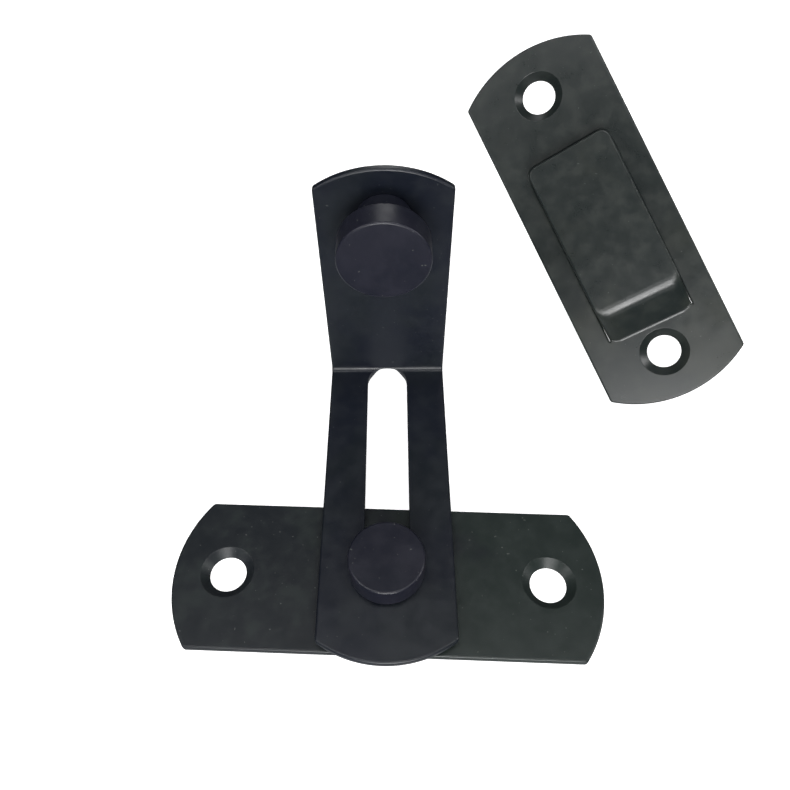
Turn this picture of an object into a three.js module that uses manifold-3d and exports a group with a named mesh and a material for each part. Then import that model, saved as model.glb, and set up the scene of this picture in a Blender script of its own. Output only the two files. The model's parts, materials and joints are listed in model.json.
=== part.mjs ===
// Slotted flip latch for a door: a base plate with a riveted round-headed pivot post, a
// right-angle latch arm whose slotted leg turns and slides on the post, a pull knob on the
// arm's upright leg, and a loose strike plate with a raised tongue.
//
// Units are millimetres and +Z is up. The origin is on the pivot axis, in the plane of the
// base plate's back. +X runs along the base plate. Sizes come first, then one function for
// each kind of shape and each piece, and the assembly at the end.

import * as THREE from 'three';
import * as BufferGeometryUtils from 'three/addons/utils/BufferGeometryUtils.js';
import Module from 'manifold-3d';

const wasm = await Module();
wasm.setup();

// --- Plates: the base plate and the strike plate are cut to one outline ---
const PLATE_LENGTH = 80.2;
const PLATE_WIDTH = 28.8;
const PLATE_SHEET = 1.5;
const PLATE_END_RADIUS = 24.2;
const PLATE_CORNER_RADIUS = 0.8;
const SCREW_FROM_TIP = 10;
const SCREW_HOLE_DIAMETER = 6.8;
const SCREW_SINK_DIAMETER = 10;

// --- Latch arm: one bent strip ---
const ARM_WIDTH = 25;
const ARM_SHEET = 1.5;
const ARM_END_RADIUS = 21.3;
const ARM_CORNER_RADIUS = 0.8;
const ARM_BEND_RADIUS = 1;
const ARM_TIP_REACH = 16.8;
const ARM_UPRIGHT_FACE = 48.5;
const ARM_UPRIGHT_HEIGHT = 51.9;
const ARM_GAP = 1.3;
const ARM_REST_TURN = THREE.MathUtils.degToRad(2.5);

// --- Pivot post and its washers ---
const POST_DIAMETER = 8.2;
const POST_HEAD_DIAMETER = 13.9;
const POST_HEAD_HEIGHT = 4.8;
const POST_HEAD_GAP = 1.1;
const POST_TAIL_DIAMETER = 6;
const POST_TAIL_FLARE = 9;
const SLOT_SIDE_CLEARANCE = 0.22;
const SLOT_END_CLEARANCE = 0.3;
const SLOT_BEND_OVERRUN = 0.95;
const SLOT_END_TILT = THREE.MathUtils.degToRad(40);
const WASHER_DIAMETER = 15;
const WASHER_BORE_CLEARANCE = 0.15;
const WASHER_PLAY = 0.1;
const SPRING_WASHER_DIAMETER = 12.6;
const SPRING_WASHER_THICKNESS = 0.4;
const SPRING_WASHER_WAVES = 3;

// --- Pull knob and its screw ---
const KNOB_DIAMETER = 16.5;
const KNOB_HEAD_THICKNESS = 5.3;
const KNOB_NECK_DIAMETER = 10.2;
const KNOB_PROJECTION = 12;
const KNOB_FROM_TIP = 10;
const KNOB_SCREW_DIAMETER = 4;
const KNOB_SCREW_HEAD_DIAMETER = 7.6;
const KNOB_SCREW_LENGTH = 9;
const KNOB_HOLE_SPARE_DEPTH = 1.2;
const CROSS_RECESS_LENGTH = 3.6;
const CROSS_RECESS_WIDTH = 0.9;
const CROSS_RECESS_DEPTH = 1;

// --- Strike tongue: cut free on three sides and raised, so that the arm passes below it ---
const TONGUE_WIDTH = 17.8;
const TONGUE_CLEARANCE = 0.4;
const TONGUE_PAST_ARM = 4.1;
const TONGUE_FOOT_FROM_SCREW = 6.8;
const TONGUE_SLOPE_RUN = 6;
const TONGUE_BEND_RADIUS = 3;
const TONGUE_FOOT_RADIUS = 1;
const TONGUE_CORNER_RADIUS = 2;
const TONGUE_SIDE_GAP = 0.1;
const TONGUE_END_GAP = 0.85;

// --- Where the loose strike plate is held: it is raised from the mounting plane about a
// --- level line, as a lid is, and is turned in its own plane ---
const STRIKE_LINE_X = 33.6;
const STRIKE_LINE_Y = 43.7;
const STRIKE_LINE_TURN = THREE.MathUtils.degToRad(-20.9);
const STRIKE_LEAN = THREE.MathUtils.degToRad(49);
const STRIKE_REACH = 40.2;
const STRIKE_SPIN = THREE.MathUtils.degToRad(42.9);

// --- Small shared values ---
const FIT_GAP = 0.1;
const EDGE_ROUND = 0.35;
const ROUND_SIDES = 48;
const ARC_SEGMENTS = 6;
const CORNER_STEPS = 3;
const END_ARC_STEPS = 18;
const CUT_SPARE = 1;

// --- Sizes that follow from the ones above ---
const SCREW_SPACING = PLATE_LENGTH - 2 * SCREW_FROM_TIP;
const ARM_UNDERSIDE = PLATE_SHEET + ARM_GAP;
const ARM_TOP = ARM_UNDERSIDE + ARM_SHEET;
const KNOB_HEIGHT = ARM_UPRIGHT_HEIGHT - KNOB_FROM_TIP;
const POST_HEAD_UNDERSIDE = ARM_TOP + POST_HEAD_GAP;
const SLOT_WIDTH = POST_DIAMETER + 2 * SLOT_SIDE_CLEARANCE;
const SLOT_NEAR_END = -(POST_DIAMETER / 2 + SLOT_END_CLEARANCE);
const SLOT_FAR_END = ARM_UPRIGHT_FACE + SLOT_BEND_OVERRUN;
const WASHER_BORE = POST_DIAMETER + 2 * WASHER_BORE_CLEARANCE;
const TONGUE_UNDERSIDE = ARM_TOP + TONGUE_CLEARANCE;
const TONGUE_END = ARM_WIDTH / 2 + TONGUE_PAST_ARM;
const TONGUE_FOOT = -(SCREW_SPACING / 2 - TONGUE_FOOT_FROM_SCREW);
const TONGUE_BEND = TONGUE_FOOT + TONGUE_SLOPE_RUN;

// ---------------------------------------------------------------------------------------
// Shapes

function toSolid(geometry) {
  const plain = geometry.index ? geometry.toNonIndexed() : geometry.clone();
  plain.deleteAttribute('normal');
  plain.deleteAttribute('uv');
  const merged = BufferGeometryUtils.mergeVertices(plain, 1e-5);
  const vertProperties = new Float32Array(merged.attributes.position.array);
  const triVerts = new Uint32Array(merged.index.array);
  return new wasm.Manifold(new wasm.Mesh({ numProp: 3, vertProperties, triVerts }));
}

function toGeometry(solid) {
  const mesh = solid.getMesh();
  const geometry = new THREE.BufferGeometry();
  geometry.setAttribute('position', new THREE.BufferAttribute(mesh.vertProperties, 3));
  geometry.setIndex(new THREE.BufferAttribute(mesh.triVerts, 1));
  return geometry;
}

// A flat shape given its thickness along +Z, from z = bottom.
function slab(shape, bottom, thickness) {
  const options = { depth: thickness, bevelEnabled: false, curveSegments: ARC_SEGMENTS };
  const geometry = new THREE.ExtrudeGeometry(shape, options);
  geometry.translate(0, 0, bottom);
  return geometry;
}

// A body of revolution about Z from [radius, z] points that start and end on the axis,
// or that close on themselves.
function turned(points) {
  const profile = points.map(([radius, z]) => new THREE.Vector2(radius, z));
  const geometry = new THREE.LatheGeometry(profile, ROUND_SIDES);
  geometry.rotateX(Math.PI / 2);
  return geometry;
}

// The points of a quarter round from one [radius, z] corner offset to the next.
function quarterRound(centreRadius, centreZ, round, startAngle) {
  const points = [];
  for (let step = 0; step <= CORNER_STEPS; step += 1) {
    const angle = startAngle + (step / CORNER_STEPS) * (Math.PI / 2);
    points.push([centreRadius + round * Math.cos(angle), centreZ + round * Math.sin(angle)]);
  }
  return points;
}

// Points on an arc from one angle to another, both included.
function arcPoints(centreX, centreY, radius, startAngle, endAngle, steps) {
  const points = [];
  for (let step = 0; step <= steps; step += 1) {
    const angle = startAngle + (step / steps) * (endAngle - startAngle);
    points.push(new THREE.Vector2(centreX + radius * Math.cos(angle), centreY + radius * Math.sin(angle)));
  }
  return points;
}

// A strip's end: a shallow arc across the width, with both corners slightly rounded. The
// strip runs along +Y, its end arc touches y = tip, and the points go from +X to -X.
function roundEnd(width, tip, endRadius, cornerRadius) {
  const offset = width / 2 - cornerRadius;
  const arcCentre = tip - endRadius;
  const cornerCentre = arcCentre + Math.sqrt((endRadius - cornerRadius) ** 2 - offset ** 2);
  const meetAngle = Math.atan2(cornerCentre - arcCentre, offset);
  return [
    ...arcPoints(offset, cornerCentre, cornerRadius, 0, meetAngle, CORNER_STEPS),
    ...arcPoints(0, arcCentre, endRadius, meetAngle, Math.PI - meetAngle, END_ARC_STEPS).slice(1, -1),
    ...arcPoints(-offset, cornerCentre, cornerRadius, Math.PI - meetAngle, Math.PI, CORNER_STEPS),
  ];
}

// A strip with a round end at y = tip and a square end at y = 0.
function roundEndedStrip(width, tip, endRadius, cornerRadius) {
  const square = [new THREE.Vector2(-width / 2, 0), new THREE.Vector2(width / 2, 0)];
  return new THREE.Shape([...square, ...roundEnd(width, tip, endRadius, cornerRadius)]);
}

// A slot outline along Y with round ends that touch y = near and y = far.
function slotShape(width, near, far) {
  const radius = width / 2;
  const shape = new THREE.Shape();
  shape.absarc(0, far - radius, radius, 0, Math.PI, false);
  shape.absarc(0, near + radius, radius, Math.PI, 2 * Math.PI, false);
  return shape;
}

function roundedRectangle(width, height, corner) {
  const x = width / 2 - corner;
  const y = height / 2 - corner;
  const shape = new THREE.Shape();
  shape.absarc(x, y, corner, 0, Math.PI / 2, false);
  shape.absarc(-x, y, corner, Math.PI / 2, Math.PI, false);
  shape.absarc(-x, -y, corner, Math.PI, 1.5 * Math.PI, false);
  shape.absarc(x, -y, corner, 1.5 * Math.PI, 2 * Math.PI, false);
  return shape;
}

// A screw hole with a conical sink, wide at the top and as deep as the sheet, made as a
// solid to cut with. It points up and its sheet lies from z = 0 to z = sheet.
function sunkHoleCutter(holeDiameter, sinkDiameter, sheet) {
  const slope = (sinkDiameter - holeDiameter) / 2 / sheet;
  return turned([
    [0, -CUT_SPARE],
    [holeDiameter / 2, -CUT_SPARE],
    [holeDiameter / 2, 0],
    [sinkDiameter / 2 + slope * CUT_SPARE, sheet + CUT_SPARE],
    [0, sheet + CUT_SPARE],
  ]);
}

// ---------------------------------------------------------------------------------------
// The plate outline that the base plate and the strike plate share, lying along Y

function plateBlank() {
  const end = roundEnd(PLATE_WIDTH, PLATE_LENGTH / 2, PLATE_END_RADIUS, PLATE_CORNER_RADIUS);
  const otherEnd = end.map((point) => point.clone().negate());
  return toSolid(slab(new THREE.Shape([...end, ...otherEnd]), 0, PLATE_SHEET));
}

function withScrewHoles(plate) {
  let drilled = plate;
  for (const side of [-1, 1]) {
    const cutter = sunkHoleCutter(SCREW_HOLE_DIAMETER, SCREW_SINK_DIAMETER, PLATE_SHEET);
    cutter.translate(0, side * SCREW_SPACING / 2, 0);
    drilled = drilled.subtract(toSolid(cutter));
  }
  return drilled;
}

function basePlate() {
  const holeRadius = POST_TAIL_DIAMETER / 2 + FIT_GAP;
  const flareRadius = POST_TAIL_FLARE / 2 + FIT_GAP;
  const flareDepth = flareRadius - holeRadius;
  const rivetHole = turned([
    [0, -CUT_SPARE],
    [flareRadius + CUT_SPARE, -CUT_SPARE],
    [holeRadius, flareDepth],
    [holeRadius, PLATE_SHEET + CUT_SPARE],
    [0, PLATE_SHEET + CUT_SPARE],
  ]);
  const plate = withScrewHoles(plateBlank()).subtract(toSolid(rivetHole));
  return toGeometry(plate).rotateZ(-Math.PI / 2);
}

// ---------------------------------------------------------------------------------------
// Pivot

// One turned rivet: round head, neck that fills the slot, shoulder on the base plate, and
// a tail peened flush with the plate's back.
function pivotPost() {
  const headRadius = POST_HEAD_DIAMETER / 2;
  const headTop = POST_HEAD_UNDERSIDE + POST_HEAD_HEIGHT;
  const tailRadius = POST_TAIL_DIAMETER / 2;
  const flareRadius = POST_TAIL_FLARE / 2;
  return turned([
    [0, 0],
    [flareRadius, 0],
    [tailRadius, flareRadius - tailRadius],
    [tailRadius, PLATE_SHEET],
    [POST_DIAMETER / 2, PLATE_SHEET],
    [POST_DIAMETER / 2, POST_HEAD_UNDERSIDE],
    ...quarterRound(headRadius - EDGE_ROUND, POST_HEAD_UNDERSIDE + EDGE_ROUND, EDGE_ROUND, -Math.PI / 2),
    ...quarterRound(headRadius - EDGE_ROUND, headTop - EDGE_ROUND, EDGE_ROUND, 0),
    [0, headTop],
  ]);
}

function ring(bore, diameter, bottom, top) {
  return turned([
    [bore / 2, bottom],
    [diameter / 2, bottom],
    [diameter / 2, top],
    [bore / 2, top],
    [bore / 2, bottom],
  ]);
}

// Plain washer that carries the arm clear of the base plate.
function glideWasher() {
  return ring(WASHER_BORE, WASHER_DIAMETER, PLATE_SHEET + WASHER_PLAY, ARM_UNDERSIDE - WASHER_PLAY);
}

// Wavy spring washer that presses between the arm and the post's head.
function springWasher() {
  const room = POST_HEAD_GAP - 2 * WASHER_PLAY - SPRING_WASHER_THICKNESS;
  const bottom = ARM_TOP + WASHER_PLAY + room / 2;
  const geometry = ring(WASHER_BORE, SPRING_WASHER_DIAMETER, bottom, bottom + SPRING_WASHER_THICKNESS);
  const position = geometry.attributes.position;
  for (let index = 0; index < position.count; index += 1) {
    const angle = Math.atan2(position.getY(index), position.getX(index));
    const wave = Math.sin(SPRING_WASHER_WAVES * angle) * room / 2;
    position.setZ(index, position.getZ(index) + wave);
  }
  return geometry;
}

// ---------------------------------------------------------------------------------------
// Latch arm, built in its own frame: the slotted leg lies along Y and the upright leg
// stands at the far end with its front face at y = ARM_UPRIGHT_FACE

// The strip's side view, drawn with x as Y and y as Z.
function armSideView() {
  const back = ARM_UPRIGHT_FACE + ARM_SHEET;
  const top = ARM_TOP + ARM_UPRIGHT_HEIGHT;
  const bendCentreY = ARM_UPRIGHT_FACE - ARM_BEND_RADIUS;
  const bendCentreZ = ARM_TOP + ARM_BEND_RADIUS;
  const shape = new THREE.Shape();
  shape.moveTo(-ARM_TIP_REACH, ARM_UNDERSIDE);
  shape.absarc(bendCentreY, bendCentreZ, ARM_BEND_RADIUS + ARM_SHEET, -Math.PI / 2, 0, false);
  shape.lineTo(back, top);
  shape.lineTo(ARM_UPRIGHT_FACE, top);
  shape.absarc(bendCentreY, bendCentreZ, ARM_BEND_RADIUS, 0, -Math.PI / 2, true);
  shape.lineTo(-ARM_TIP_REACH, ARM_TOP);
  shape.closePath();
  return shape;
}

// Turns a shape drawn as a side view into a bar that spans the arm's width along X.
function acrossArm(shape) {
  const bar = slab(shape, -ARM_WIDTH / 2, ARM_WIDTH);
  return bar.rotateX(Math.PI / 2).rotateZ(Math.PI / 2);
}

// The block that the slotted leg's round end is trimmed to.
function legTrim() {
  const reach = ARM_TIP_REACH + ARM_UPRIGHT_FACE + ARM_SHEET;
  const strip = roundEndedStrip(ARM_WIDTH, reach, ARM_END_RADIUS, ARM_CORNER_RADIUS);
  const block = slab(strip, 0, ARM_TOP + ARM_UPRIGHT_HEIGHT + CUT_SPARE);
  return block.rotateZ(Math.PI).translate(0, reach - ARM_TIP_REACH, 0);
}

// The block that the upright leg's round end is trimmed to.
function uprightTrim() {
  const strip = roundEndedStrip(ARM_WIDTH, ARM_TOP + ARM_UPRIGHT_HEIGHT, ARM_END_RADIUS, ARM_CORNER_RADIUS);
  const depth = ARM_TIP_REACH + ARM_UPRIGHT_FACE + ARM_SHEET + 2 * CUT_SPARE;
  const block = slab(strip, -depth, depth);
  return block.rotateX(Math.PI / 2).translate(0, -ARM_TIP_REACH - CUT_SPARE, 0);
}

// The slot is cut straight down through the leg. Its far end runs into the bend, where
// the cut leans over with the strip.
function slotCutters() {
  const endRadius = SLOT_WIDTH / 2;
  const deep = ARM_SHEET + 2 * CUT_SPARE;
  const straightEnd = ARM_UPRIGHT_FACE - ARM_BEND_RADIUS;
  const straight = slab(slotShape(SLOT_WIDTH, SLOT_NEAR_END, straightEnd), ARM_UNDERSIDE - CUT_SPARE, deep);
  const leaning = slab(slotShape(SLOT_WIDTH, -2 * endRadius, 0), -CUT_SPARE, deep);
  leaning.rotateX(SLOT_END_TILT);
  leaning.translate(0, SLOT_FAR_END, ARM_UNDERSIDE + ARM_BEND_RADIUS);
  return [straight, leaning];
}

// The knob screw's sunk hole, cut from the upright's back.
function knobScrewCutter() {
  const hole = KNOB_SCREW_DIAMETER + 2 * FIT_GAP;
  const sink = KNOB_SCREW_HEAD_DIAMETER + 2 * FIT_GAP;
  const cutter = sunkHoleCutter(hole, sink, ARM_SHEET);
  return cutter.rotateX(-Math.PI / 2).translate(0, ARM_UPRIGHT_FACE, ARM_TOP + KNOB_HEIGHT);
}

function latchArm() {
  let arm = toSolid(acrossArm(armSideView()));
  arm = arm.intersect(toSolid(legTrim()));
  arm = arm.intersect(toSolid(uprightTrim()));
  for (const cutter of [...slotCutters(), knobScrewCutter()]) {
    arm = arm.subtract(toSolid(cutter));
  }
  return toGeometry(arm);
}

// ---------------------------------------------------------------------------------------
// Pull knob and its screw, built about Z with the upright's front face at z = 0 and the
// knob pointing up, then laid over to point along -Y

function layOnUpright(geometry) {
  return geometry.rotateX(Math.PI / 2).translate(0, ARM_UPRIGHT_FACE, ARM_TOP + KNOB_HEIGHT);
}

function pullKnob() {
  const headRadius = KNOB_DIAMETER / 2;
  const headBottom = KNOB_PROJECTION - KNOB_HEAD_THICKNESS;
  const holeRadius = KNOB_SCREW_DIAMETER / 2 + FIT_GAP;
  const holeDepth = KNOB_SCREW_LENGTH - ARM_SHEET + KNOB_HOLE_SPARE_DEPTH;
  return layOnUpright(turned([
    [0, holeDepth],
    [holeRadius, holeDepth],
    [holeRadius, FIT_GAP],
    [KNOB_NECK_DIAMETER / 2, FIT_GAP],
    [KNOB_NECK_DIAMETER / 2, headBottom],
    ...quarterRound(headRadius - EDGE_ROUND, headBottom + EDGE_ROUND, EDGE_ROUND, -Math.PI / 2),
    ...quarterRound(headRadius - EDGE_ROUND, KNOB_PROJECTION - EDGE_ROUND, EDGE_ROUND, 0),
    [0, KNOB_PROJECTION],
  ]));
}

function knobScrew() {
  const shank = turned([
    [0, -ARM_SHEET],
    [KNOB_SCREW_HEAD_DIAMETER / 2, -ARM_SHEET],
    [KNOB_SCREW_DIAMETER / 2, 0],
    [KNOB_SCREW_DIAMETER / 2, KNOB_SCREW_LENGTH - ARM_SHEET],
    [0, KNOB_SCREW_LENGTH - ARM_SHEET],
  ]);
  let screw = toSolid(shank);
  for (const turn of [0, Math.PI / 2]) {
    const bar = new THREE.BoxGeometry(CROSS_RECESS_LENGTH, CROSS_RECESS_WIDTH, 2 * CROSS_RECESS_DEPTH);
    bar.rotateZ(turn).translate(0, 0, -ARM_SHEET);
    screw = screw.subtract(toSolid(bar));
  }
  return layOnUpright(toGeometry(screw));
}

// ---------------------------------------------------------------------------------------
// Strike plate, built flat with its back at z = 0, its length along Y and its middle at
// the origin

// Rounds the corner at b of the path a, b, c, and adds it to the shape.
function addRoundedCorner(shape, a, b, c, radius) {
  const toA = a.clone().sub(b).normalize();
  const toC = c.clone().sub(b).normalize();
  const halfAngle = Math.acos(toA.dot(toC)) / 2;
  const setback = radius / Math.tan(halfAngle);
  const centre = toA.clone().add(toC).normalize().multiplyScalar(radius / Math.sin(halfAngle)).add(b);
  const start = toA.multiplyScalar(setback).add(b).sub(centre);
  const end = toC.multiplyScalar(setback).add(b).sub(centre);
  const clockwise = start.cross(end) < 0;
  shape.absarc(centre.x, centre.y, radius, start.angle(), end.angle(), clockwise);
}

// The tongue's side view, drawn with x along the plate and y up: a strip of sheet that
// leaves the plate at its foot, slopes up and runs level to its free end.
function tongueSideView() {
  const rise = TONGUE_UNDERSIDE;
  const slopeLength = Math.hypot(TONGUE_SLOPE_RUN, rise);
  const lean = PLATE_SHEET * (slopeLength - rise) / TONGUE_SLOPE_RUN;
  const root = TONGUE_FOOT - TONGUE_SLOPE_RUN;
  const point = (x, y) => new THREE.Vector2(x, y);
  const under = [point(root, 0), point(TONGUE_FOOT, 0), point(TONGUE_BEND, rise), point(TONGUE_END, rise)];
  const over = [
    point(TONGUE_END, rise + PLATE_SHEET), point(TONGUE_BEND - lean, rise + PLATE_SHEET),
    point(TONGUE_FOOT - lean, PLATE_SHEET), point(root, PLATE_SHEET),
  ];
  const shape = new THREE.Shape();
  shape.moveTo(under[0].x, under[0].y);
  addRoundedCorner(shape, under[0], under[1], under[2], TONGUE_FOOT_RADIUS + PLATE_SHEET);
  addRoundedCorner(shape, under[1], under[2], under[3], TONGUE_BEND_RADIUS);
  shape.lineTo(under[3].x, under[3].y);
  shape.lineTo(over[0].x, over[0].y);
  addRoundedCorner(shape, over[0], over[1], over[2], TONGUE_BEND_RADIUS + PLATE_SHEET);
  addRoundedCorner(shape, over[1], over[2], over[3], TONGUE_FOOT_RADIUS);
  shape.lineTo(over[3].x, over[3].y);
  shape.closePath();
  return shape;
}

// A block with rounded upright corners, as wide as given, from y = near to y = far.
function roundedBlock(width, near, far, corner, height) {
  const block = slab(roundedRectangle(width, far - near, corner), -CUT_SPARE, height + 2 * CUT_SPARE);
  return toSolid(block.translate(0, (near + far) / 2, 0));
}

function strikePlate() {
  const windowWidth = TONGUE_WIDTH + 2 * TONGUE_SIDE_GAP;
  const windowEnd = TONGUE_END + TONGUE_END_GAP;
  const windowCutter = roundedBlock(windowWidth, TONGUE_FOOT, windowEnd, TONGUE_CORNER_RADIUS, PLATE_SHEET);
  const strip = slab(tongueSideView(), -TONGUE_WIDTH / 2, TONGUE_WIDTH);
  strip.rotateX(Math.PI / 2).rotateZ(Math.PI / 2);
  const root = TONGUE_FOOT - TONGUE_SLOPE_RUN;
  const height = TONGUE_UNDERSIDE + PLATE_SHEET;
  const trim = roundedBlock(TONGUE_WIDTH, root, TONGUE_END, TONGUE_CORNER_RADIUS, height);
  const tongue = toSolid(strip).intersect(trim);
  const plate = plateBlank().subtract(windowCutter).add(tongue);
  return toGeometry(withScrewHoles(plate));
}

// ---------------------------------------------------------------------------------------
// Assembly

function coatedSteel(color, roughness) {
  return new THREE.MeshStandardMaterial({ color, roughness, metalness: 0.5 });
}

function named(name, geometry, material) {
  const mesh = new THREE.Mesh(geometry, material);
  mesh.name = name;
  return mesh;
}

const plateCoat = coatedSteel(0x23282a, 0.5);
const armCoat = coatedSteel(0x1e2129, 0.42);
const turnedCoat = coatedSteel(0x20212b, 0.34);
const blackNylon = new THREE.MeshStandardMaterial({ color: 0x16171a, roughness: 0.6, metalness: 0 });
const springSteel = new THREE.MeshStandardMaterial({ color: 0x6c6e70, roughness: 0.35, metalness: 1 });
const screwSteel = new THREE.MeshStandardMaterial({ color: 0x2a2b2e, roughness: 0.38, metalness: 0.9 });

const group = new THREE.Group();
group.add(named('base_plate', basePlate(), plateCoat.clone()));
group.add(named('pivot_post', pivotPost(), turnedCoat.clone()));

const swinging = new THREE.Group();
swinging.rotation.z = ARM_REST_TURN;
swinging.add(named('glide_washer', glideWasher(), blackNylon.clone()));
swinging.add(named('spring_washer', springWasher(), springSteel.clone()));
swinging.add(named('latch_arm', latchArm(), armCoat.clone()));
swinging.add(named('pull_knob', pullKnob(), turnedCoat.clone()));
swinging.add(named('knob_screw', knobScrew(), screwSteel.clone()));
group.add(swinging);

const strikeLine = new THREE.Group();
strikeLine.position.set(STRIKE_LINE_X, STRIKE_LINE_Y, 0);
strikeLine.rotation.z = STRIKE_LINE_TURN;
const strikeLid = new THREE.Group();
strikeLid.rotation.x = STRIKE_LEAN;
const strike = named('strike_plate', strikePlate(), plateCoat.clone());
strike.position.y = STRIKE_REACH;
strike.rotation.z = STRIKE_SPIN;
strikeLid.add(strike);
strikeLine.add(strikeLid);
group.add(strikeLine);

export default group;
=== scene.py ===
"""Looks of the slotted flip latch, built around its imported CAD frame.

The formed sheet pieces and the turned pieces are modelled again here with rounded edges,
smooth bends and exact normals, each on the CAD body and in the place of the CAD node that it
stands for. Sizes are in metres, and MM turns millimetres into metres.
"""

import json
import math

import bpy
from mathutils import Matrix, Vector
from mathutils.geometry import delaunay_2d_cdt
from mathutils.kdtree import KDTree


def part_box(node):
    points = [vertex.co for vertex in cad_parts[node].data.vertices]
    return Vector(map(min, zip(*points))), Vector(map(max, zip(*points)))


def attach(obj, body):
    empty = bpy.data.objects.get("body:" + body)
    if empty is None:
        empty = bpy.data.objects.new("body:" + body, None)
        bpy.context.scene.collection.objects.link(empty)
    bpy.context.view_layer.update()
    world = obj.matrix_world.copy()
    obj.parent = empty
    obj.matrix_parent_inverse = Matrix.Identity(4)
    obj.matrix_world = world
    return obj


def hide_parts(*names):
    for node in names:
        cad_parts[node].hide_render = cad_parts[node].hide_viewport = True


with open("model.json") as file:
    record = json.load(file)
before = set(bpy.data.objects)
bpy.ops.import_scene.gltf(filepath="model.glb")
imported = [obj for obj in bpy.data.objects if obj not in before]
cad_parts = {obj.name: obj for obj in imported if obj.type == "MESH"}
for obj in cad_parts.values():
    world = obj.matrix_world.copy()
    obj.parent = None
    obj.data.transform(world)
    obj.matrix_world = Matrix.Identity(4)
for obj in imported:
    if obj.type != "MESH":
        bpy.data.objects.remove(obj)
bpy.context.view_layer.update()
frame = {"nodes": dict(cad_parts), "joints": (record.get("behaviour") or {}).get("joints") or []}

MM = 0.001

# --- Plates: the base plate and the strike plate share one blank ---
PLATE_END_RADIUS = 24.2 * MM
PLATE_CORNER_RADIUS = 0.8 * MM
SCREW_SPACING = 60.2 * MM
SCREW_HOLE_RADIUS = 3.4 * MM
SCREW_SINK_RADIUS = 5.0 * MM
SINK_LAND = 0.12 * MM
TAIL_HOLE_RADIUS = 3.1 * MM
TAIL_FLARE_RADIUS = 4.6 * MM

# --- Latch arm ---
ARM_END_RADIUS = 21.3 * MM
ARM_CORNER_RADIUS = 0.8 * MM
ARM_BEND_RADIUS = 1.0 * MM
ARM_SHEET = 1.5 * MM
SLOT_WIDTH = 8.64 * MM
SLOT_NEAR_END = -4.4 * MM
SLOT_PAST_BEND_START = 1.6 * MM
KNOB_HOLE_RADIUS = 2.1 * MM
KNOB_SINK_RADIUS = 3.9 * MM

# --- Turned pieces ---
POST_RADIUS = 4.1 * MM
POST_HEAD_HEIGHT = 4.8 * MM
POST_TAIL_RADIUS = 3.0 * MM
POST_TAIL_FLARE_RADIUS = 4.5 * MM
KNOB_HEAD_THICKNESS = 5.3 * MM
KNOB_NECK_RADIUS = 5.1 * MM
KNOB_HEIGHT = 41.9 * MM
WASHER_BORE_RADIUS = 4.25 * MM
SPRING_WASHER_THICKNESS = 0.4 * MM
SPRING_WASHER_WAVES = 3

# --- Strike tongue: its sheet's middle line, and the cut round it ---
TONGUE_HALF_WIDTH = 8.9 * MM
TONGUE_SIDE_GAP = 0.1 * MM
TONGUE_END = 16.6 * MM
TONGUE_END_GAP = 0.85 * MM
TONGUE_END_CORNER = 2.0 * MM
TONGUE_RISE = 4.7 * MM
TONGUE_BEND = 17.66 * MM
TONGUE_FOOT = 23.66 * MM
TONGUE_BEND_RADIUS = 3.75 * MM
TONGUE_FOOT_RADIUS = 1.75 * MM
TONGUE_FOOT_CORNER = 2.4 * MM
TONGUE_FOOT_CORNER_SHARE = 0.9
STRIKE_REACH = 40.2 * MM
STRIKE_SPIN = math.radians(42.9)

# --- Edges and mesh steps ---
SHEET_EDGE_ROUND = 0.42 * MM
HOLE_EDGE_ROUND = 0.16 * MM
TONGUE_EDGE_ROUND = 0.42 * MM
TURNED_EDGE_ROUND = 0.4 * MM
SMALL_ROUND = 0.08 * MM
FLARE_SHARE = 0.9
ROUND_STEPS = 5
CORNER_STEPS = 6
END_ARC_STEPS = 60
TONGUE_CORNER_STEPS = 12
SLIT_END_STEPS = 8
SLOT_END_STEPS = 48
SIDE_STEP = 0.4 * MM
PLATE_SIDE_STEP = 1.6 * MM
FOLD_STEP = 0.3 * MM
BEND_STEP = 0.15 * MM
ACROSS_FOLD_STEP = 0.6 * MM
FOLD_CLEAR = 0.18 * MM
TURNED_SIDES = 144
HOLE_SIDES = 96
SLOPE_PROBE = 0.004 * MM

# --- Camera, at the photograph's viewing angle ---
CAMERA_PLACE = Vector((4.2, -54.1, 125.0)) * MM
CAMERA_TARGET = Vector((-0.25, 44.45, 0.0)) * MM
CAMERA_ROLL = math.radians(-0.48)
CAMERA_LENS = 31.86


# ---------------------------------------------------------------------------------------
# Outlines: loops of (point, normal), where the normal points away from the material

def arc(centre_x, centre_y, radius, start, end, steps, outward=1):
    loop = []
    for step in range(steps + 1):
        angle = start + (end - start) * step / steps
        direction = Vector((math.cos(angle), math.sin(angle)))
        loop.append((Vector((centre_x, centre_y)) + direction * radius, direction * outward))
    return loop


def round_end(width, tip, end_radius, corner_radius):
    """A strip's far end from its +X corner to its -X corner: a shallow arc that touches y = tip."""
    offset = width / 2 - corner_radius
    arc_centre = tip - end_radius
    corner_centre = arc_centre + math.sqrt((end_radius - corner_radius) ** 2 - offset**2)
    meet = math.atan2(corner_centre - arc_centre, offset)
    right = arc(offset, corner_centre, corner_radius, 0, meet, CORNER_STEPS)
    middle = arc(0, arc_centre, end_radius, meet, math.pi - meet, END_ARC_STEPS)
    left = arc(-offset, corner_centre, corner_radius, math.pi - meet, math.pi, CORNER_STEPS)
    return right + middle[1:-1] + left


def turned_half(loop):
    """The same stretch of outline after half a turn."""
    return [(-point, -normal) for point, normal in loop]


def hole(centre_x, centre_y, radius):
    """A round hole, taken clockwise."""
    return arc(centre_x, centre_y, radius, 0, -2 * math.pi, HOLE_SIDES, -1)[:-1]


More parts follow.
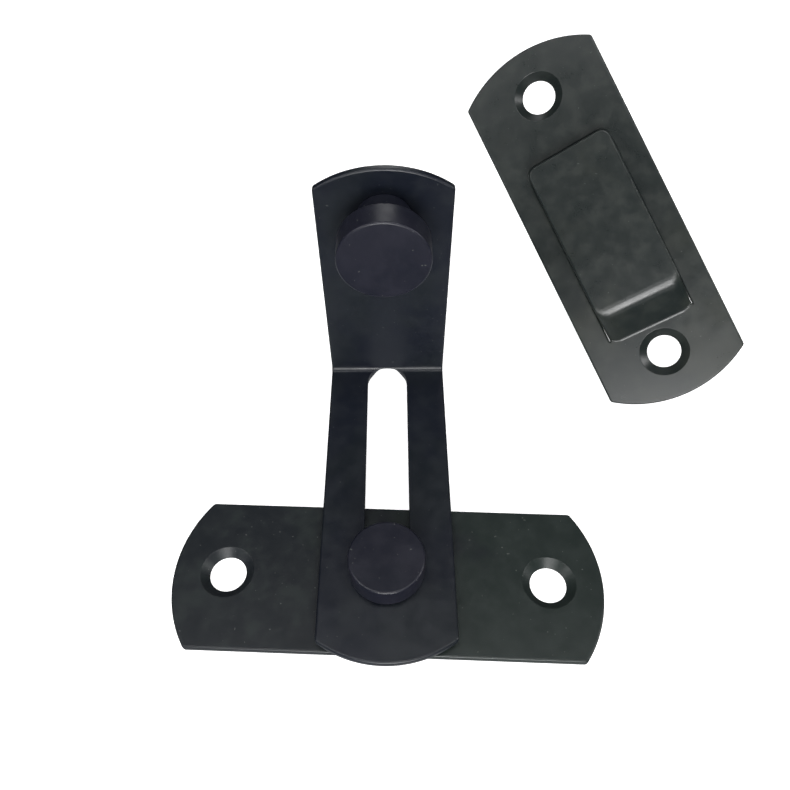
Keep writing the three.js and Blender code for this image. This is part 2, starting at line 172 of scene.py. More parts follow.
def slot(near, far, width):
    """A slot along Y with round ends, taken clockwise."""
    radius = width / 2
    top = arc(0, far - radius, radius, math.pi, 0, SLOT_END_STEPS, -1)
    bottom = arc(0, near + radius, radius, 0, -math.pi, SLOT_END_STEPS, -1)
    return top + bottom


def with_side_points(loop, step):
    """Adds points along the loop's long straight sides."""
    full = []
    for index, (point, normal) in enumerate(loop):
        next_point, next_normal = loop[(index + 1) % len(loop)]
        length = (next_point - point).length
        count = max(1, math.ceil(length / step)) if normal.dot(next_normal) > 0.999999 else 1
        for part in range(count):
            full.append((point.lerp(next_point, part / count), normal))
    return full


# ---------------------------------------------------------------------------------------
# Profiles: (point, normal) along a path whose outside is on its right

def filleted(corners):
    """corners are (x, y, round). The ends stay sharp, and every other corner is rounded."""
    points = [Vector((x, y)) for x, y, _ in corners]
    first = (points[1] - points[0]).normalized()
    last = (points[-1] - points[-2]).normalized()
    profile = [(points[0], Vector((first.y, -first.x)))]
    for index in range(1, len(points) - 1):
        radius = corners[index][2]
        before = (points[index] - points[index - 1]).normalized()
        after = (points[index + 1] - points[index]).normalized()
        turn = math.atan2(before.cross(after), before.dot(after))
        side = math.copysign(1, turn)
        normal = Vector((before.y, -before.x))
        start = points[index] - before * radius * math.tan(abs(turn) / 2)
        centre = start - normal * radius * side
        for step in range(ROUND_STEPS + 1):
            turned_normal = Matrix.Rotation(turn * step / ROUND_STEPS, 2) @ normal
            profile.append((centre + turned_normal * radius * side, turned_normal))
    profile.append((points[-1], Vector((last.y, -last.x))))
    return profile


def edge_profile(sheet, *middle):
    """A sheet's cut edge from its back face to its front face, as (out, height) points.
    middle are the edge's own corners, and out is negative into the material."""
    reach = 20 * MM
    first_out, last_out = middle[0][0], middle[-1][0]
    corners = [(first_out - reach, 0, 0), *middle, (last_out - reach, sheet, 0)]
    return filleted(corners)[1:-1]


def plain_edge(sheet, rounding):
    return edge_profile(sheet, (0, 0, rounding), (0, sheet, rounding))


# ---------------------------------------------------------------------------------------
# Meshes

def make_piece(name, points, normals, faces, place):
    """An object from local points and normals, with its place in its vertices."""
    mesh = bpy.data.meshes.new(name)
    mesh.from_pydata([place @ point for point in points], [], faces)
    mesh.polygons.foreach_set("use_smooth", [True] * len(faces))
    turn = place.to_3x3()
    mesh.normals_split_custom_set_from_vertices([(turn @ normal).normalized() for normal in normals])
    mesh.update()
    piece = bpy.data.objects.new(name, mesh)
    bpy.context.scene.collection.objects.link(piece)
    return piece


def inside(x, y, loops):
    """Whether a point is on the material: inside an odd number of loops."""
    odd = False
    for ring in loops:
        previous = ring[-1]
        for corner in ring:
            if (corner.y > y) != (previous.y > y):
                cross_x = corner.x + (y - corner.y) / (previous.y - corner.y) * (previous.x - corner.x)
                if x < cross_x:
                    odd = not odd
            previous = corner
    return odd


def fill(rings, extra):
    """Triangles over the material between rings of (index, plan point), and the plan points that
    were added for the folds. Added points are numbered from -1 down."""
    flat = [entry for ring in rings for entry in ring]
    outlines = [[point for _, point in ring] for ring in rings]
    tree = KDTree(len(flat))
    for index, (_, point) in enumerate(flat):
        tree.insert((point.x, point.y, 0), index)
    tree.balance()
    added = []
    for point in extra:
        near = tree.find((point.x, point.y, 0))[2]
        if near > FOLD_CLEAR and inside(point.x, point.y, outlines):
            added.append(point)
    scale = 1 / MM
    plan = [point * scale for _, point in flat] + [point * scale for point in added]
    edges, start = [], 0
    for ring in rings:
        count = len(ring)
        edges += [(start + k, start + (k + 1) % count) for k in range(count)]
        start += count
    out_points, _, out_faces, origin, _, _ = delaunay_2d_cdt(plan, edges, [], 0, 1e-7)
    names = []
    for sources in origin:
        source = sources[0]
        names.append(flat[source][0] if source < len(flat) else len(flat) - source - 1)
    triangles = []
    for face in out_faces:
        a, b, c = (out_points[k] for k in face)
        middle = (a + b + c) / 3 / scale
        if not inside(middle.x, middle.y, outlines):
            continue
        corners = [names[k] for k in face]
        if (b - a).cross(c - a) < 0:
            corners.reverse()
        triangles.append(corners)
    return triangles, added


def sheet_piece(name, sheet, loops, fold_points, form, place):
    """A formed sheet. loops are (outline, edge profile), form takes plan x, plan y and height in the
    sheet to a local point, and fold_points are plan points where the sheet needs to bend."""
    local, local_normals, faces = [], [], []
    back_rings, front_rings = [], []
    for outline, profile in loops:
        first, rows = len(local), len(profile)
        for point, normal in outline:
            for (out, height), (normal_out, normal_up) in profile:
                spot = point + normal * out
                local.append((spot.x, spot.y, height))
                local_normals.append(Vector((normal.x * normal_out, normal.y * normal_out, normal_up)))
        count = len(outline)
        for k in range(count):
            here, there = first + k * rows, first + (k + 1) % count * rows
            for row in range(rows - 1):
                faces.append((here + row, there + row, there + row + 1, here + row + 1))
        back = [first + k * rows for k in range(count)]
        front = [index + rows - 1 for index in back]
        back_rings.append([(index, Vector(local[index][:2])) for index in back])
        front_rings.append([(index, Vector(local[index][:2])) for index in front])
    for rings, height, up in ((back_rings, 0, -1), (front_rings, sheet, 1)):
        triangles, added = fill(rings, fold_points)
        base = len(local) - 1
        for point in added:
            local.append((point.x, point.y, height))
            local_normals.append(Vector((0, 0, up)))
        for triangle in triangles:
            corners = [index if index >= 0 else base - index for index in triangle]
            faces.append(corners if up > 0 else corners[::-1])
    points, normals = [], []
    for (x, y, height), normal in zip(local, local_normals):
        here = form(x, y, height)
        jacobian = Matrix((
            (form(x + SLOPE_PROBE, y, height) - here) / SLOPE_PROBE,
            (form(x, y + SLOPE_PROBE, height) - here) / SLOPE_PROBE,
            (form(x, y, height + SLOPE_PROBE) - here) / SLOPE_PROBE,
        ))
        points.append(here)
        normals.append(jacobian.inverted_safe() @ normal)
    return make_piece(name, points, normals, faces, place)


def turned_piece(name, corners, place, closed=False, wave=None):
    """A body of revolution about local Z from (radius, height, round) corners. It starts and ends on
    the axis, or closes on itself. wave adds a height to each angle."""
    profile = filleted(corners)
    if closed:
        profile = profile[:-1]
    rows = len(profile)
    points, normals, faces, rings = [], [], [], []
    for (radius, height), (normal_out, normal_up) in profile:
        if radius < 1e-9:
            rings.append([len(points)] * TURNED_SIDES)
            points.append(Vector((0, 0, height)))
            normals.append(Vector((0, 0, normal_up)))
            continue
        rings.append([len(points) + k for k in range(TURNED_SIDES)])
        for k in range(TURNED_SIDES):
            angle = 2 * math.pi * k / TURNED_SIDES
            lift = wave(angle) if wave else 0
            points.append(Vector((radius * math.cos(angle), radius * math.sin(angle), height + lift)))
            normals.append(Vector((normal_out * math.cos(angle), normal_out * math.sin(angle), normal_up)))
    for row in range(rows if closed else rows - 1):
        low, high = rings[row], rings[(row + 1) % rows]
        for k in range(TURNED_SIDES):
            n = (k + 1) % TURNED_SIDES
            corner = [low[k], low[n], high[n], high[k]]
            faces.append(list(dict.fromkeys(corner)))
    return make_piece(name, points, normals, faces, place)


# ---------------------------------------------------------------------------------------
# Places, from the frame

joints = {joint["name"]: joint for joint in frame["joints"]}
slide_axis = joints["arm_slide"]["axis"]
arm_turn = math.atan2(slide_axis[0], -slide_axis[1])
arm_place = Matrix.Rotation(arm_turn, 4, "Z")

lay_axis = joints["strike_lay"]["axis"]
strike_lean = -math.radians(joints["strike_lay"]["range_deg"][0])
strike_place = (
    Matrix.Translation(joints["strike_lay"]["pos_m"])
    @ Matrix.Rotation(math.atan2(lay_axis[1], lay_axis[0]), 4, "Z")
    @ Matrix.Rotation(strike_lean, 4, "X")
    @ Matrix.Translation((0, STRIKE_REACH, 0))
    @ Matrix.Rotation(STRIKE_SPIN, 4, "Z")
)
base_place = Matrix.Rotation(-math.pi / 2, 4, "Z")


def local_box(node, place):
    """Lowest and highest corner of a CAD node in a place's own axes."""
    inverse = place.inverted()
    corners = [inverse @ vertex.co for vertex in frame["nodes"][node].data.vertices]
    low = Vector(min(corner[k] for corner in corners) for k in range(3))
    high = Vector(max(corner[k] for corner in corners) for k in range(3))
    return low, high


# ---------------------------------------------------------------------------------------
# Plates

plate_low, plate_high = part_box("base_plate")
PLATE_LENGTH = plate_high.x - plate_low.x
PLATE_WIDTH = plate_high.y - plate_low.y
PLATE_SHEET = plate_high.z - plate_low.z


def plate_outline():
    end = round_end(PLATE_WIDTH, PLATE_LENGTH / 2, PLATE_END_RADIUS, PLATE_CORNER_RADIUS)
    return with_side_points(end + turned_half(end), PLATE_SIDE_STEP)


def sunk_edge():
    sink = SCREW_SINK_RADIUS - SCREW_HOLE_RADIUS
    return edge_profile(
        PLATE_SHEET,
        (0, 0, SMALL_ROUND),
        (0, SINK_LAND + SMALL_ROUND, SMALL_ROUND),
        (-sink, PLATE_SHEET, HOLE_EDGE_ROUND),
    )


def plate_loops():
    loops = [(plate_outline(), plain_edge(PLATE_SHEET, SHEET_EDGE_ROUND))]
    for side in (-1, 1):
        loops.append((hole(0, side * SCREW_SPACING / 2, SCREW_HOLE_RADIUS), sunk_edge()))
    return loops


def flat(x, y, height):
    return Vector((x, y, height))


def make_base_plate():
    flare = TAIL_FLARE_RADIUS - TAIL_HOLE_RADIUS
    tail_edge = edge_profile(
        PLATE_SHEET,
        (-flare, 0, SMALL_ROUND),
        (0, flare * FLARE_SHARE, SMALL_ROUND),
        (0, PLATE_SHEET, SMALL_ROUND / 2),
    )
    loops = plate_loops() + [(hole(0, 0, TAIL_HOLE_RADIUS), tail_edge)]
    return sheet_piece("base_plate_formed", PLATE_SHEET, loops, [], flat, base_place)


# The tongue's path, from its middle to past its foot, at the middle of the sheet.
tongue_path = filleted([
    (0, TONGUE_RISE, 0),
    (TONGUE_BEND, TONGUE_RISE, TONGUE_BEND_RADIUS),
    (TONGUE_FOOT, 0, TONGUE_FOOT_RADIUS),
    (TONGUE_FOOT + MM, 0, 0),
])
tongue_root = tongue_path[-1][0].x
tongue_lengths = [0]
for (start, _), (end, _) in zip(tongue_path, tongue_path[1:]):
    tongue_lengths.append(tongue_lengths[-1] + (end - start).length)


def on_tongue(run):
    """The point and the upward normal at a plan distance from the tongue's middle to its root."""
    travel = min(run, tongue_root) / tongue_root * tongue_lengths[-1]
    index = 0
    while index < len(tongue_lengths) - 2 and tongue_lengths[index + 1] < travel:
        index += 1
    share = (travel - tongue_lengths[index]) / (tongue_lengths[index + 1] - tongue_lengths[index])
    point = tongue_path[index][0].lerp(tongue_path[index + 1][0], share)
    normal = tongue_path[index][1].lerp(tongue_path[index + 1][1], share).normalized()
    return point, -normal


def foot_shift(x):
    """How far the tongue's folds draw back at its sides, where its foot's corners are round."""
    inner = TONGUE_HALF_WIDTH - TONGUE_FOOT_CORNER
    across = max(0, min(1, (abs(x) - inner) / TONGUE_FOOT_CORNER)) * TONGUE_FOOT_CORNER_SHARE
    return TONGUE_FOOT_CORNER * (1 - math.sqrt(1 - across**2))


def past_tongue(x, y):
    """Distance from a plan point to the tongue's outline, negative on the tongue."""
    across = abs(x) - (TONGUE_HALF_WIDTH - TONGUE_END_CORNER)
    along = y - (TONGUE_END - TONGUE_END_CORNER)
    outside = math.hypot(max(across, 0), max(along, 0))
    return outside + min(max(across, along), 0) - TONGUE_END_CORNER


def pressed(x, y, height):
    """The strike's forming: the tongue rises from its foot and stays level to its free end."""
    if past_tongue(x, y) > TONGUE_SIDE_GAP / 2:
        return Vector((x, y, height))
    if y >= 0:
        return Vector((x, y, height + TONGUE_RISE))
    shift = foot_shift(x)
    run = shift - y
    if run >= tongue_root:
        return Vector((x, y, height))
    point, normal = on_tongue(run)
    middle = PLATE_SHEET / 2
    out = point + normal * (height - middle)
    return Vector((x, shift - out.x, out.y + middle))


def cut_side(half_width, end, corner, outward):
    """Half of a cut line round the tongue, from its middle at the free end to the slit's near end."""
    root = -(tongue_root - foot_shift(TONGUE_HALF_WIDTH))
    line = [(Vector((0, end)), Vector((0, outward)))]
    line += arc(half_width - corner, end - corner, corner, math.pi / 2, 0, TONGUE_CORNER_STEPS, outward)
    line.append((Vector((half_width, root)), Vector((outward, 0))))
    return line


def mirrored(line):
    """The same line on the -X side, taken the other way."""
    return [(Vector((-p.x, p.y)), Vector((-n.x, n.y))) for p, n in reversed(line)]


def tongue_cut():
    """The U-shaped cut round the tongue, taken clockwise: the window's edge, round the slit's near
    end on the +X side, back along the tongue's edge, and round the other slit's near end."""
    window = cut_side(
        TONGUE_HALF_WIDTH + TONGUE_SIDE_GAP, TONGUE_END + TONGUE_END_GAP, TONGUE_END_CORNER, -1)
    tongue = cut_side(TONGUE_HALF_WIDTH, TONGUE_END, TONGUE_END_CORNER, 1)
    slit_x = TONGUE_HALF_WIDTH + TONGUE_SIDE_GAP / 2
    near_end = arc(slit_x, window[-1][0].y, TONGUE_SIDE_GAP / 2, 0, -math.pi, SLIT_END_STEPS, -1)[1:-1]
    far_side = mirrored(window)[:-1] + window + near_end
    near_side = tongue[::-1] + mirrored(tongue)[::-1][1:]
    return far_side + near_side + mirrored(near_end)


def make_strike_plate():
    cut_edge = plain_edge(PLATE_SHEET, TONGUE_EDGE_ROUND)
    loops = plate_loops()
    loops.append((with_side_points(tongue_cut(), SIDE_STEP), cut_edge))
    columns = math.ceil(2 * TONGUE_HALF_WIDTH / ACROSS_FOLD_STEP)
    rows = math.ceil(tongue_root / FOLD_STEP)
    fold_points = []
    for row in range(rows + 1):
        y = -tongue_root * row / rows
        for column in range(columns + 1):
            x = -TONGUE_HALF_WIDTH + 2 * TONGUE_HALF_WIDTH * column / columns
            fold_points.append(Vector((x, y)))
    return sheet_piece("strike_plate_formed", PLATE_SHEET, loops, fold_points, pressed, strike_place)


# ---------------------------------------------------------------------------------------
# Latch arm

arm_low, arm_high = local_box("latch_arm", arm_place)
ARM_WIDTH = arm_high.x - arm_low.x
ARM_UNDERSIDE = arm_low.z
ARM_TOP = ARM_UNDERSIDE + ARM_SHEET
ARM_FACE = arm_high.y - ARM_SHEET
BEND_START = ARM_FACE - ARM_BEND_RADIUS
BEND_HEIGHT = ARM_TOP + ARM_BEND_RADIUS
BEND_LENGTH = (ARM_BEND_RADIUS + ARM_SHEET / 2) * math.pi / 2
UPRIGHT_START = BEND_START + BEND_LENGTH


def bent(x, y, height):
    """The arm's forming: a flat strip whose far part stands up past the bend."""
    radius = ARM_BEND_RADIUS + ARM_SHEET - height
    if y <= BEND_START:
        return Vector((x, y, ARM_UNDERSIDE + height))
    if y >= UPRIGHT_START:
        return Vector((x, BEND_START + radius, BEND_HEIGHT + y - UPRIGHT_START))
    angle = (y - BEND_START) / BEND_LENGTH * math.pi / 2
    return Vector((x, BEND_START + radius * math.sin(angle), BEND_HEIGHT - radius * math.cos(angle)))


def make_latch_arm():
    far_tip = UPRIGHT_START + arm_high.z - BEND_HEIGHT
    far = round_end(ARM_WIDTH, far_tip, ARM_END_RADIUS, ARM_CORNER_RADIUS)
    near = turned_half(round_end(ARM_WIDTH, -arm_low.y, ARM_END_RADIUS, ARM_CORNER_RADIUS))
    outline = with_side_points(far + near, SIDE_STEP)
    slot_end = BEND_START + SLOT_PAST_BEND_START
    slot_loop = with_side_points(slot(SLOT_NEAR_END, slot_end, SLOT_WIDTH), SIDE_STEP)
    knob_hole = hole(0, UPRIGHT_START + ARM_TOP + KNOB_HEIGHT - BEND_HEIGHT, KNOB_HOLE_RADIUS)
    sink = KNOB_SINK_RADIUS - KNOB_HOLE_RADIUS
    sunk_from_back = edge_profile(ARM_SHEET, (-sink, 0, SMALL_ROUND), (0, ARM_SHEET, SMALL_ROUND))
    loops = [
        (outline, plain_edge(ARM_SHEET, SHEET_EDGE_ROUND)),
        (slot_loop, plain_edge(ARM_SHEET, HOLE_EDGE_ROUND)),
        (knob_hole, sunk_from_back),
    ]
    columns = math.ceil(ARM_WIDTH / ACROSS_FOLD_STEP)
    rows = math.ceil(BEND_LENGTH / BEND_STEP)
    fold_points = []
    for row in range(-2, rows + 3):
        y = BEND_START + BEND_LENGTH * row / rows
        for column in range(columns + 1):
            fold_points.append(Vector((-ARM_WIDTH / 2 + ARM_WIDTH * column / columns, y)))
    return sheet_piece("latch_arm_formed", ARM_SHEET, loops, fold_points, bent, arm_place)


# ---------------------------------------------------------------------------------------
# Turned pieces

def make_pivot_post():
    _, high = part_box("pivot_post")
    low_head = high.z - POST_HEAD_HEIGHT
    flare = POST_TAIL_FLARE_RADIUS - POST_TAIL_RADIUS
    return turned_piece("pivot_post_turned", [
        (0, 0, 0),
        (POST_TAIL_FLARE_RADIUS, 0, SMALL_ROUND),
        (POST_TAIL_RADIUS, flare * FLARE_SHARE, SMALL_ROUND / 2),
        (POST_TAIL_RADIUS, PLATE_SHEET, SMALL_ROUND / 2),
        (POST_RADIUS, PLATE_SHEET, SMALL_ROUND),
        (POST_RADIUS, low_head, SMALL_ROUND),
        (high.x, low_head, TURNED_EDGE_ROUND),
        (high.x, high.z, TURNED_EDGE_ROUND),
        (0, high.z, 0),
    ], Matrix.Identity(4))


def make_pull_knob():
    low, high = local_box("pull_knob", arm_place)
    radius = (high.x - low.x) / 2
    projection = ARM_FACE - low.y
    neck_start = ARM_FACE - high.y
    head_start = projection - KNOB_HEAD_THICKNESS
    lay = Matrix.Translation((0, ARM_FACE, ARM_TOP + KNOB_HEIGHT)) @ Matrix.Rotation(math.pi / 2, 4, "X")
    return turned_piece("pull_knob_turned", [
        (0, neck_start, 0),
        (KNOB_NECK_RADIUS, neck_start, SMALL_ROUND),
        (KNOB_NECK_RADIUS, head_start, SMALL_ROUND * 3),
        (radius, head_start, TURNED_EDGE_ROUND),
        (radius, projection, TURNED_EDGE_ROUND),
        (0, projection, 0),
    ], arm_place @ lay)


def ring_corners(bore, radius, bottom, top, rounding):
    middle = (bottom + top) / 2
    return [
        (bore, middle, 0),
        (bore, bottom, rounding),
        (radius, bottom, rounding),
        (radius, top, rounding),
        (bore, top, rounding),
        (bore, middle, 0),
    ]


def make_glide_washer():
    low, high = local_box("glide_washer", arm_place)
    corners = ring_corners(WASHER_BORE_RADIUS, high.x, low.z, high.z, SMALL_ROUND * 2)
    return turned_piece("glide_washer_moulded", corners, arm_place, closed=True)


def make_spring_washer():
    low, high = local_box("spring_washer", arm_place)
    swing = (high.z - low.z - SPRING_WASHER_THICKNESS) / 2
    middle = (high.z + low.z) / 2
    bottom, top = middle - SPRING_WASHER_THICKNESS / 2, middle + SPRING_WASHER_THICKNESS / 2
    corners = ring_corners(WASHER_BORE_RADIUS, high.x, bottom, top, SMALL_ROUND)
    return turned_piece(
        "spring_washer_pressed", corners, arm_place, closed=True,
        wave=lambda angle: swing * math.sin(SPRING_WASHER_WAVES * angle),
    )


# ---------------------------------------------------------------------------------------
# Materials

def node(tree, kind, inputs=None, **settings):
    made = tree.nodes.new(kind)
    for key, value in settings.items():
        setattr(made, key, value)
    for key, value in (inputs or {}).items():
        if isinstance(value, bpy.types.NodeSocket):
            tree.links.new(value, made.inputs[key])
        else:
            made.inputs[key].default_value = value
    return made


def noise(tree, place, scale, detail=2.0, roughness=0.5):
    made = node(tree, "ShaderNodeTexNoise", {"Vector": place, "Scale": scale, "Detail": detail,
                                             "Roughness": roughness})
    return made.outputs["Fac"]


def ramp(tree, value, low, high, low_value=0.0, high_value=1.0):
    made = node(tree, "ShaderNodeMapRange", {
        "Value": value, "From Min": low, "From Max": high, "To Min": low_value, "To Max": high_value,
    })
    made.interpolation_type = "SMOOTHSTEP"
    return made.outputs["Result"]


def blended(tree, share, first, second):
    made = node(tree, "ShaderNodeMix", data_type="RGBA")
    for socket, value in (("Factor_Float", share), ("A_Color", first), ("B_Color", second)):
        target = next(s for s in made.inputs if s.identifier == socket)
        if isinstance(value, bpy.types.NodeSocket):
            tree.links.new(value, target)
        else:
            target.default_value = value
    return next(s for s in made.outputs if s.identifier == "Result_Color")


def coated(name, body, patch, drift, gloss, specks, peel):
    """A thin satin black coat: patches of a second tone, cloudy gloss, a fine orange peel, grain,
    and a few dust specks. drift is how much the patches gather along X and Y, per metre, and their
    threshold. gloss is the lowest and the highest roughness. specks is how bright the dust is, and
    peel how deep the orange peel and the grain are."""
    material = bpy.data.materials.new(name)
    material.use_nodes = True
    tree = material.node_tree
    shader = tree.nodes["Principled BSDF"]
    place = node(tree, "ShaderNodeTexCoord").outputs["Object"]
    cloud = noise(tree, place, 55, 3.0, 0.6)
    haze = noise(tree, place, 260, 4.0, 0.65)
    grain = noise(tree, place, 5200, 2.0, 0.6)
    skin = noise(tree, place, 1500, 2.0, 0.5)
    dust = noise(tree, place, 2300, 0.0)
    gather = node(tree, "ShaderNodeVectorMath", {0: place, 1: (drift[0], drift[1], 0)},
                  operation="DOT_PRODUCT").outputs["Value"]
    gathered = node(tree, "ShaderNodeMath", {0: cloud, 1: gather}, operation="ADD").outputs[0]
    patches = ramp(tree, gathered, drift[2] - 0.1, drift[2] + 0.1)
    colour = blended(tree, patches, (*body, 1), (*patch, 1))
    dull = node(tree, "ShaderNodeMath", {0: ramp(tree, haze, 0.45, 0.7), 1: 0.4},
                operation="MULTIPLY").outputs[0]
    colour = blended(tree, dull, colour, (*[channel * 1.35 for channel in patch], 1))
    speck = node(tree, "ShaderNodeMath", {0: ramp(tree, dust, 0.84, 0.87), 1: specks},
                 operation="MULTIPLY").outputs[0]
    colour = blended(tree, speck, colour, (0.20, 0.21, 0.20, 1))
    tree.links.new(colour, shader.inputs["Base Color"])
    rough = ramp(tree, haze, 0.3, 0.7, gloss[0], gloss[1])
    rough = node(tree, "ShaderNodeMath", {0: grain, 1: 0.08, 2: rough}, operation="MULTIPLY_ADD").outputs[0]
    tree.links.new(rough, shader.inputs["Roughness"])
    peel_bump = node(tree, "ShaderNodeBump", {
        "Height": skin, "Strength": 0.10 * peel, "Distance": 0.03 * MM,
    })
    grain_bump = node(tree, "ShaderNodeBump", {
        "Height": grain, "Strength": 0.16 * peel, "Distance": 0.01 * MM, "Normal": peel_bump.outputs[0],
    })
    tree.links.new(grain_bump.outputs[0], shader.inputs["Normal"])
    shader.inputs["Metallic"].default_value = 0.0
    shader.inputs["Specular IOR Level"].default_value = 0.42
    return material


def moulded_nylon(name):
    material = bpy.data.materials.new(name)
    material.use_nodes = True
    tree = material.node_tree
    shader = tree.nodes["Principled BSDF"]
    place = node(tree, "ShaderNodeTexCoord").outputs["Object"]
    cloud = noise(tree, place, 300, 3.0)
    colour = blended(tree, cloud, (0.010, 0.010, 0.011, 1), (0.022, 0.022, 0.024, 1))
    tree.links.new(colour, shader.inputs["Base Color"])
    tree.links.new(ramp(tree, cloud, 0.3, 0.7, 0.5, 0.65), shader.inputs["Roughness"])
    bump = node(tree, "ShaderNodeBump", {"Height": noise(tree, place, 3500), "Strength": 0.2,
                                         "Distance": 0.02 * MM})
    tree.links.new(bump.outputs[0], shader.inputs["Normal"])
    return material


def bare_steel(name, dark, light):
    """Steel with fine circular tool marks about the piece's own axis."""
    material = bpy.data.materials.new(name)
    material.use_nodes = True
    tree = material.node_tree
    shader = tree.nodes["Principled BSDF"]
    place = node(tree, "ShaderNodeTexCoord").outputs["Object"]
    cloud = noise(tree, place, 400, 3.0)
    marks = node(tree, "ShaderNodeTexWave", {
        "Vector": place, "Scale": 900, "Distortion": 1.5, "Detail": 2.0,
    }, wave_type="RINGS", rings_direction="Z").outputs["Fac"]
    tree.links.new(blended(tree, cloud, (*dark, 1), (*light, 1)), shader.inputs["Base Color"])
    tree.links.new(ramp(tree, cloud, 0.3, 0.7, 0.28, 0.42), shader.inputs["Roughness"])
    bump = node(tree, "ShaderNodeBump", {"Height": marks, "Strength": 0.12, "Distance": 0.01 * MM})
    tree.links.new(bump.outputs[0], shader.inputs["Normal"])
    shader.inputs["Metallic"].default_value = 1.0
    return material


def white_paper(name):
    material = bpy.data.materials.new(name)
    material.use_nodes = True
    tree = material.node_tree
    shader = tree.nodes["Principled BSDF"]
    place = node(tree, "ShaderNodeTexCoord").outputs["Object"]
    tone = noise(tree, place, 4)
    colour = blended(tree, tone, (0.90, 0.90, 0.90, 1), (0.92, 0.92, 0.92, 1))
    tree.links.new(colour, shader.inputs["Base Color"])
    shader.inputs["Roughness"].default_value = 0.9
    shader.inputs["Specular IOR Level"].default_value = 0.0
    shader.inputs["Emission Color"].default_value = (1, 1, 1, 1)
    shader.inputs["Emission Strength"].default_value = 0.75
    return material


# ---------------------------------------------------------------------------------------
# The object

PLATE_BODY = (0.0075, 0.0098, 0.0125)
PLATE_PATCH = (0.0105, 0.0160, 0.0145)
# The strike plate has the base plate's coat: the two strike tones below are a lighter, greener copy of its
# tones, as painted sheen for the light the tilted strike catches.
STRIKE_BODY_PAINTED_SHEEN = (0.0085, 0.0118, 0.0115)
STRIKE_PATCH_PAINTED_SHEEN = (0.0150, 0.0180, 0.0155)
ARM_BODY = (0.0038, 0.0056, 0.0110)
ARM_PATCH = (0.0052, 0.0076, 0.0110)
TURNED_BODY = (0.0055, 0.0066, 0.0130)
TURNED_PATCH = (0.0085, 0.0088, 0.0160)

# name, body, patch, drift, gloss, specks, peel
plate_coat = coated("plate_coat", PLATE_BODY, PLATE_PATCH, (8, 0, 0.55), (0.30, 0.41), 0.3, 1.4)
# The strike's coat: a lighter copy of the plate coat whose light patches gather towards -Y, a painted sheen
# over the coat's own random tone, dust specks and orange peel.
strike_coat_painted_sheen = coated("strike_coat_painted_sheen", STRIKE_BODY_PAINTED_SHEEN, STRIKE_PATCH_PAINTED_SHEEN, (0, -4, 0.35), (0.24, 0.32), 0.15, 0.7)
arm_coat = coated("arm_coat", ARM_BODY, ARM_PATCH, (0, 0, 0.52), (0.30, 0.42), 0.2, 0.7)
turned_coat = coated("turned_coat", TURNED_BODY, TURNED_PATCH, (0, 0, 0.5), (0.30, 0.40), 0.3, 0.6)
black_nylon = moulded_nylon("black_nylon")
spring_steel = bare_steel("spring_steel", (0.30, 0.30, 0.31), (0.42, 0.42, 0.43))
screw_steel = bare_steel("screw_steel", (0.035, 0.035, 0.04), (0.06, 0.06, 0.065))

PIECES = (
    (make_base_plate, "base_plate", "base", "plate_coat", plate_coat),
    (make_pivot_post, "pivot_post", "base", "turned_coat", turned_coat),
    (make_glide_washer, "glide_washer", "swivel", "black_nylon", black_nylon),
    (make_spring_washer, "spring_washer", "swivel", "spring_steel", spring_steel),
    (make_latch_arm, "latch_arm", "arm", "arm_coat", arm_coat),
    (make_pull_knob, "pull_knob", "arm", "turned_coat", turned_coat),
    (make_strike_plate, "strike_plate", "strike", "plate_coat", strike_coat_painted_sheen),
)
for make, cad_node, body, slot_name, material in PIECES:
    piece = make()
    piece.data.materials.append(material)
    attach(piece, body)
    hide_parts(cad_node)

# The knob's screw keeps its CAD solid, with its edges broken.
screw = frame["nodes"]["knob_screw"]
screw.data.materials.clear()
screw.data.materials.append(screw_steel)
flatten = screw.modifiers.new("flatten", "DECIMATE")
flatten.decimate_type = "DISSOLVE"
flatten.angle_limit = math.radians(1)
soften = screw.modifiers.new("soften", "BEVEL")
soften.width = SMALL_ROUND
soften.segments = 2
soften.limit_method = "ANGLE"
soften.angle_limit = math.radians(30)
even = screw.modifiers.new("even", "WEIGHTED_NORMAL")
even.keep_sharp = True

# ---------------------------------------------------------------------------------------
# Floor, light and camera

FLOOR_HALF = 1.5
FLOOR_DROP = 0.05 * MM
BACKDROP = 0.85
SKY = (0.03, 0.05)
TABLE = 0.45
TABLE_FULL, TABLE_END = -0.70, -0.40
ROOM_COLOUR = (0.95, 0.98, 1.0, 1)

# name, place, target, width, depth, power
LIGHTS = (
    ("overhead", (0.0, -0.03, 0.55), (0, 0.03, 0), 0.50, 0.12, 1.4),
    ("front", (0.02, -0.58, 0.34), (0.02, 0.05, 0.01), 0.40, 0.12, 2.0),
    ("front_low", (0.05, -0.62, 0.21), (0.05, 0.05, 0.02), 0.34, 0.10, 3.2),
    ("left", (-0.42, -0.16, 0.40), (0, 0.05, 0.01), 0.16, 0.30, 0.9),
    ("right", (0.50, 0.02, 0.30), (0, 0.03, 0), 0.12, 0.30, 0.9),
    ("back", (0.0, 0.60, 0.38), (0, 0.04, 0.04), 0.25, 0.08, 0.45),
)


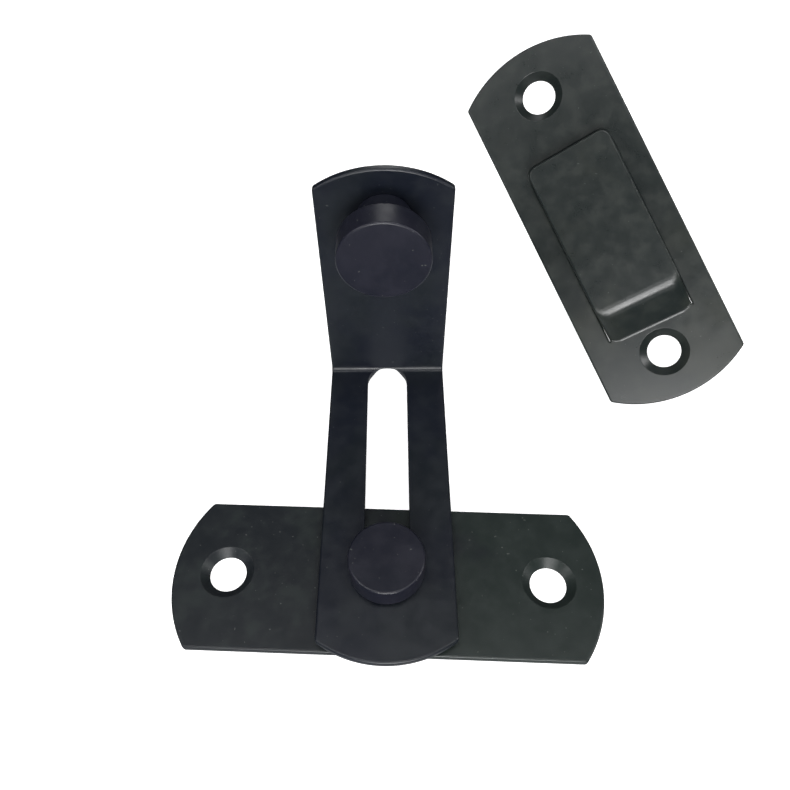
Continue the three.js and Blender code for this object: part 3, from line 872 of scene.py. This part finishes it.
def make_floor():
    mesh = bpy.data.meshes.new("floor")
    signs = ((-1, -1), (1, -1), (1, 1), (-1, 1))
    corners = [(x * FLOOR_HALF, y * FLOOR_HALF, -FLOOR_DROP) for x, y in signs]
    mesh.from_pydata(corners, [], [(0, 1, 2, 3)])
    floor = bpy.data.objects.new("floor", mesh)
    bpy.context.scene.collection.objects.link(floor)
    mesh.materials.append(white_paper("floor_paper"))
    floor.visible_glossy = False


def soft_box(name, place, target, width, depth, power):
    light = bpy.data.lights.new(name, "AREA")
    light.shape = "RECTANGLE"
    light.size = width
    light.size_y = depth
    light.energy = power
    lamp = bpy.data.objects.new(name, light)
    bpy.context.scene.collection.objects.link(lamp)
    lamp.location = place
    aim = Vector(target) - Vector(place)
    lamp.rotation_euler = aim.to_track_quat("-Z", "Y").to_euler()


def make_world():
    """A dim room with a pale table below, which the gloss sees beyond the lamps, behind a pale
    backdrop, which shows past the floor."""
    world = bpy.data.worlds.new("studio")
    bpy.context.scene.world = world
    world.use_nodes = True
    tree = world.node_tree
    background = tree.nodes["Background"]
    direction = node(tree, "ShaderNodeTexCoord").outputs["Generated"]
    height = node(tree, "ShaderNodeSeparateXYZ", {"Vector": direction}).outputs["Z"]
    table = ramp(tree, height, TABLE_FULL, TABLE_END, TABLE, 0.0)
    sky = ramp(tree, height, 0.0, 1.0, *SKY)
    room = node(tree, "ShaderNodeMath", {0: table, 1: sky}, operation="ADD").outputs[0]
    seen = node(tree, "ShaderNodeLightPath").outputs["Is Camera Ray"]
    strength = node(tree, "ShaderNodeMath", {0: seen, 1: BACKDROP, 2: room}, operation="MULTIPLY_ADD")
    tree.links.new(strength.outputs[0], background.inputs["Strength"])
    background.inputs["Color"].default_value = ROOM_COLOUR


def make_camera():
    data = bpy.data.cameras.new("camera")
    data.lens = CAMERA_LENS
    data.sensor_width = 36
    data.clip_start = 0.005
    camera = bpy.data.objects.new("camera", data)
    bpy.context.scene.collection.objects.link(camera)
    aim = (CAMERA_TARGET - CAMERA_PLACE).to_track_quat("-Z", "Y").to_matrix()
    turn = aim @ Matrix.Rotation(CAMERA_ROLL, 3, "Z")
    camera.matrix_world = Matrix.Translation(CAMERA_PLACE) @ turn.to_4x4()
    bpy.context.scene.camera = camera


make_floor()
make_world()
for light in LIGHTS:
    soft_box(*light)
make_camera()
bpy.context.scene.view_settings.view_transform = "Standard"
